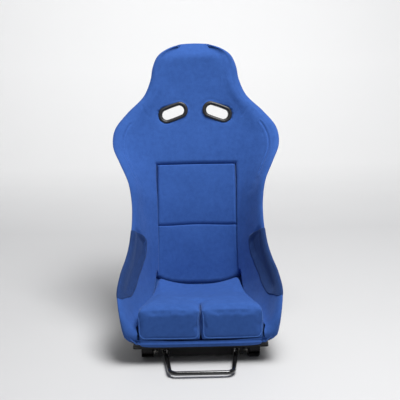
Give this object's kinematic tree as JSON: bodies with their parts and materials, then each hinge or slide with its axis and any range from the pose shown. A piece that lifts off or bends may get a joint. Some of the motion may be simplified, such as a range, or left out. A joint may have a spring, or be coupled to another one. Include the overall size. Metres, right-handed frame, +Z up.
{
  "type": "racing seat",
  "caption": "Fixed-back bucket racing seat in blue fabric with harness slots and a split cushion, on sliding floor rails released by a front towel bar.",
  "frame": {"origin": "centre of the rectangle of the four floor bolts, on the floor plane under the feet", "axes": "+Z up, the seat faces -Y, +X to the right of someone looking at the seat's front"},
  "size_m": [0.5728, 0.6835, 0.9644],
  "materials": {
    "fabric_blue": "short-nap woven upholstery cloth",
    "suede_blue": "brushed microfibre suede patch, top-stitched",
    "shell_black": "black gelcoat on glass-fibre laminate",
    "plastic_black": "satin injection-moulded polymer",
    "foam_grey": "open-cell foam sheet",
    "steel_black": "black powder-coated steel",
    "zinc": "zinc-plated steel"
  },
  "bodies": {
    "base": {"lower_rail_left": "steel_black", "lower_rail_right": "steel_black", "lock_strip_left": "zinc", "lock_strip_right": "zinc", "strip_rivets": "zinc", "floor_feet": "steel_black", "floor_foot_front_right": "steel_black", "travel_stops": "zinc"},
    "seat": {"seat_shell": "shell_black", "shell_edge_trim": "fabric_blue", "shell_mount_bosses": "shell_black", "captive_nut_plates": "zinc", "upper_back_pad": "fabric_blue", "back_insert_upper": "fabric_blue", "back_insert_lower": "fabric_blue", "side_bolster_left": "fabric_blue", "side_bolster_right": "fabric_blue", "hip_patch_left": "suede_blue", "hip_patch_right": "suede_blue", "pan_liner": "foam_grey", "seat_cushion": "fabric_blue", "hook_loop_strips": "plastic_black", "harness_bezel_front_left": "plastic_black", "harness_bezel_front_right": "plastic_black", "harness_bezel_rear_left": "plastic_black", "harness_bezel_rear_right": "plastic_black", "bezel_screws": "steel_black", "adapter_front": "steel_black", "adapter_rear": "steel_black", "shell_bolts": "zinc", "adapter_bolts": "zinc", "adapter_nuts": "zinc", "upper_rail_left": "steel_black", "upper_rail_right": "steel_black", "latch_bracket_left": "steel_black", "latch_bracket_right": "steel_black", "bracket_rivets": "zinc", "pivot_pins": "zinc", "pivot_clips": "zinc", "return_spring_left": "zinc", "return_spring_right": "zinc", "spring_anchor_pins": "zinc"},
    "release": {"towel_bar": "steel_black", "latch_lever_left": "zinc", "latch_lever_right": "zinc", "bar_screws": "zinc", "spring_lever_pins": "zinc"},
    "cage_left": {"ball_cage_left": "plastic_black", "bearing_balls_left": "zinc"},
    "cage_right": {"ball_cage_right": "plastic_black", "bearing_balls_right": "zinc"}
  },
  "joints": [
    {"name": "seat_slide", "type": "slide", "parent": "base", "child": "seat", "axis": [0, -1, 0], "range_m": [-0.08, 0.1]},
    {"name": "towel_bar_lift", "type": "hinge", "parent": "seat", "child": "release", "pos_m": [0, -0.152, 0.032], "axis": [-1, 0, 0], "range_deg": [0, 7], "stiffness_Nm_per_rad": 5, "springref_deg": -6.88, "deforming": ["return_spring_left", "return_spring_right"]},
    {"name": "cage_roll_left", "type": "slide", "parent": "base", "child": "cage_left", "axis": [0, -1, 0], "range_m": [-0.045, 0.055]},
    {"name": "cage_roll_right", "type": "slide", "parent": "base", "child": "cage_right", "axis": [0, -1, 0], "range_m": [-0.045, 0.055]}
  ],
  "couplings": [
    {"joint": "cage_roll_left", "follows": "seat_slide", "ratio": 0.5},
    {"joint": "cage_roll_right", "follows": "seat_slide", "ratio": 0.5}
  ]
}
